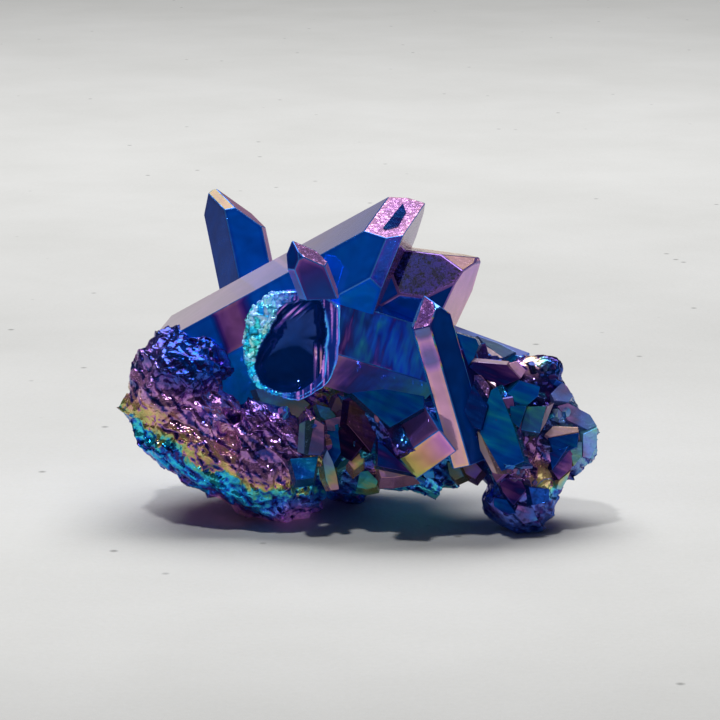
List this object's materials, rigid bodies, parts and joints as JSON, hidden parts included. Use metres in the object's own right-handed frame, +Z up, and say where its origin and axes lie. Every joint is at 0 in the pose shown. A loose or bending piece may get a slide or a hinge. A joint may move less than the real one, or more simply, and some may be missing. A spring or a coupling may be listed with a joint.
{
  "type": "aura quartz cluster",
  "caption": "Mineral specimen: six-sided coated quartz crystals leaning out of a rough broken root that stands on cut feet.",
  "frame": {"origin": "centre of the bounding box in plan, on the surface the cluster stands on", "axes": "+Z up, -Y towards the front with the broken hollow crystal, +X to the right of that front"},
  "size_m": [0.0912, 0.0609, 0.0593],
  "materials": {
    "aura_coating": "iridescent vapour-deposited metal film over quartz"
  },
  "bodies": {
    "root": {"quartz_cluster": "aura_coating"}
  },
  "joints": []
}
